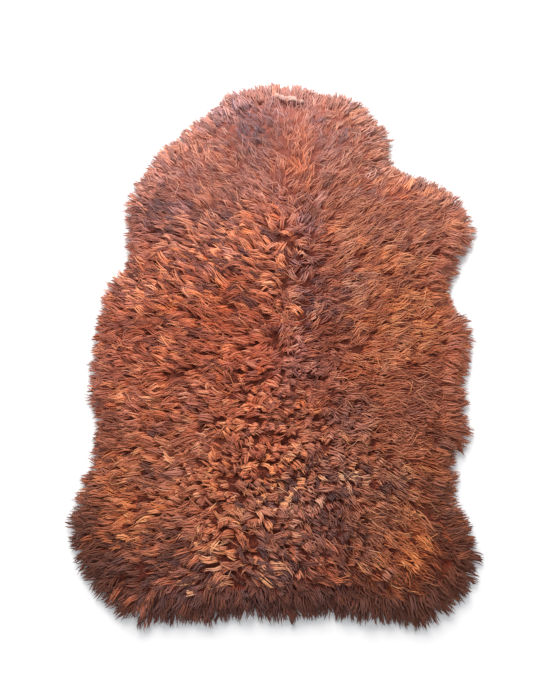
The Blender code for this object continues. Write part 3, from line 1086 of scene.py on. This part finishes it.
# %% Wrap shader sockets
class Socket:
    """A node socket that can be used in sums."""

    def __init__(self, tree, socket):
        self.tree = tree
        self.socket = socket

    def math(self, operation, *others, kind="Math"):
        node = self.tree.nodes.new("ShaderNode" + kind)
        node.operation = operation
        for slot, value in zip(node.inputs, (self, *others)):
            feed(self.tree, slot, value)
        return Socket(self.tree, node.outputs[0])

    def __add__(self, other):
        return self.math("ADD", other)

    def __mul__(self, other):
        return self.math("MULTIPLY", other)

    def __sub__(self, other):
        return self.math("SUBTRACT", other)


def feed(tree, slot, value):
    """Links a socket to an input, or writes a plain value on it."""
    if isinstance(value, Socket):
        tree.links.new(value.socket, slot)
    else:
        slot.default_value = value


print("sockets can now be added, multiplied and taken away")

# %% [markdown]
# Four more helpers keep the finishes short. One adds any node by its kind, one
# mixes two colours, one starts a material, and one feeds its shader a colour
# and a bump.

# %% Add nodes and materials
def add_node(tree, kind, settings=None, output=0, **values):
    """Adds a node, sets it up and returns one of its outputs."""
    node = tree.nodes.new("ShaderNode" + kind)
    for key, value in (settings or {}).items():
        setattr(node, key, value)
    for key, value in values.items():
        name = key.replace("_", " ")
        slot = next(s for s in node.inputs if s.name == name and s.enabled)
        feed(tree, slot, value)
    return Socket(tree, node.outputs[output])


def mix(tree, factor, first, second):
    """Mixes two colours."""
    return add_node(tree, "Mix", {"data_type": "RGBA"}, 2, Factor=factor, A=first, B=second)


def new_material(name):
    """Returns a new material, its nodes and its shader."""
    material = bpy.data.materials.new(name)
    material.use_nodes = True
    tree = material.node_tree
    return material, tree, tree.nodes["Principled BSDF"]


def paint(tree, shader, colour, height, strength, distance):
    """Feeds a colour and a bump into a shader."""
    feed(tree, shader.inputs["Base Color"], colour)
    bump = add_node(tree, "Bump", None, 0, Height=height, Strength=strength, Distance=distance)
    feed(tree, shader.inputs["Normal"], bump)


print(len(bpy.data.materials), "materials before the first finish")

# %% [markdown]
# Wool takes its colour from the strands. Fine fibres run along each wisp as
# streaks in colour and as a bump, and a weak sheen gives the soft edge of
# wool in side light. The fourth value of the tint is a number for each wisp,
# so that no two have the same streaks.

# %% Dress the wool
material, tree, shader = new_material("russet_wool")
tint = add_node(tree, "Attribute", {"attribute_name": "wool_tint"}, 0)
seed = add_node(tree, "Attribute", {"attribute_name": "wool_tint"}, 3)
strand = add_node(tree, "Attribute", {"attribute_name": "strand"}, 1)
along = add_node(tree, "SeparateXYZ", None, 2, Vector=strand)
sway = (along * 24.0 + seed * 40.0).math("SINE") * 0.22
shift = add_node(tree, "CombineXYZ", None, 0, X=sway, Y=sway)
waved = strand.math("ADD", shift, kind="VectorMath")
stretched = add_node(tree, "Mapping", None, 0, Vector=waved, Scale=(4.0, 4.0, 2.2))
streak = add_node(tree, "TexNoise", {"noise_dimensions": "4D"}, 0, Vector=stretched,
                  W=seed * 60.0, Scale=1.0, Detail=3.0)
deep = (0.82, 0.55, 0.43, 1.0)
pale = (1.20, 1.38, 1.52, 1.0)
gain = mix(tree, streak * 1.6 - 0.3, deep, pale)
colour = tint.math("MULTIPLY", gain, kind="VectorMath")
paint(tree, shader, colour, streak, 0.4, 0.001)
shader.inputs["Roughness"].default_value = 0.65
shader.inputs["Specular IOR Level"].default_value = 0.14
shader.inputs["Sheen Weight"].default_value = 0.04
shader.inputs["Sheen Roughness"].default_value = 0.5
shader.inputs["Sheen Tint"].default_value = (0.9, 0.6, 0.5, 1.0)
for piece in wool:
    piece.data.materials.append(material)
print(len(wool), "pieces wear", material.name)

# %% [markdown]
# The underwool is only seen in the dark gaps between locks, so it is painted
# deep red-brown as their shade, with a tangled bump. Towards the neck it takes
# the painted haze of light as well.

# %% Dress the underwool
material, tree, shader = new_material("matted_underwool")
where = add_node(tree, "TexCoord", None, 3)
tangle = add_node(tree, "TexNoise", None, 0, Vector=where, Scale=300.0, Detail=4.0)
# Dark and brown are painted shade for the gaps between locks, and the third colour is the
# painted haze of light towards the neck.
dark, brown, rosy = [(*linear(*screen), 1.0) for screen in (
    (70, 33, 25), (116, 54, 41), (176, 104, 90))]
along = add_node(tree, "SeparateXYZ", None, 1, Vector=where)
colour = mix(tree, along * 2.6 - 0.35, mix(tree, tangle * 3.0 - 1.0, dark, brown), rosy)
paint(tree, shader, colour, tangle, 1.0, 0.004)
shader.inputs["Roughness"].default_value = 0.9
shader.inputs["Specular IOR Level"].default_value = 0.1
underwool.data.materials.append(material)
print("underwool wears", material.name)

# %% [markdown]
# The flesh side of the hide is pale suede: cloudy tan patches, and a fine nap
# in the bump. The flap stands high above it, where the skin is thin and pink.

# %% Dress the hide
material, tree, shader = new_material("pale_suede")
where = add_node(tree, "TexCoord", None, 3)
cloud = add_node(tree, "TexNoise", None, 0, Vector=where, Scale=9.0, Detail=5.0)
nap = add_node(tree, "TexNoise", None, 0, Vector=where, Scale=700.0, Detail=3.0)
light = (0.70, 0.53, 0.44, 1.0)
tan = (0.54, 0.37, 0.29, 1.0)
pink = (0.62, 0.39, 0.33, 1.0)
high = add_node(tree, "SeparateXYZ", None, 2, Vector=where)
colour = mix(tree, high * 60.0 - 0.6, mix(tree, cloud, light, tan), pink)
paint(tree, shader, colour, nap, 0.4, 0.0006)
shader.inputs["Roughness"].default_value = 0.85
hide.data.materials.append(material)
print("hide wears", material.name)

# %% [markdown]
# Every piece moves with the rug, and the solid of the model is hidden.

# %% Tie the pieces to the model
for piece in [*wool, underwool, hide]:
    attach(piece, "root")
    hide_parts("sheepskin")
print(len(wool) + 2, "pieces ride on the rug")

# %% [markdown]
# The rug lies on a wide pale floor, which is a hair below the hide, so that
# two flat faces never share one place. The camera looks down from above the
# rump, a little tilted towards the neck.

# %% Set up the floor and the camera
FLOOR_LEVEL = -0.0006
FOCAL_LENGTH, PICTURE_HEIGHT = 600, 700
FILM_SIZE = 36

deselect()
bpy.ops.mesh.primitive_plane_add(size=12, location=(0, 0, FLOOR_LEVEL))
floor = bpy.context.object
floor.name = "floor"
material, tree, shader = new_material("pale_floor")
shader.inputs["Base Color"].default_value = (0.86, 0.86, 0.86, 1.0)
shader.inputs["Roughness"].default_value = 0.9
floor.data.materials.append(material)

lens = bpy.data.cameras.new("camera")
lens.lens = FOCAL_LENGTH / PICTURE_HEIGHT * FILM_SIZE
camera = bpy.data.objects.new("camera", lens)
camera.location = (-0.012, -0.301, 1.037)
camera.rotation_euler = (math.radians(14), 0, 0)
bpy.context.scene.collection.objects.link(camera)
bpy.context.scene.camera = camera
print("camera at", tuple(round(v, 3) for v in camera.location))

# %% [markdown]
# Soft light comes from the neck end, as from a large window, and pale light
# from all round fills the shadows.

# %% Light the scene
world = bpy.data.worlds.new("studio")
world.use_nodes = True
sky = world.node_tree.nodes["Background"]
sky.inputs["Color"].default_value = (0.95, 0.97, 1.0, 1.0)
sky.inputs["Strength"].default_value = 0.75
bpy.context.scene.world = world

light = bpy.data.lights.new("window", "AREA")
light.size = 1.4
light.energy = 104
light.color = (1.0, 0.97, 0.94)
window = bpy.data.objects.new("window", light)
window.location = (-0.4, 2.1, 1.9)
window.rotation_euler = (-window.location).to_track_quat("-Z", "Y").to_euler()
bpy.context.scene.collection.objects.link(window)
bpy.context.scene.view_settings.view_transform = "Standard"
print("window of", light.energy, "watts")
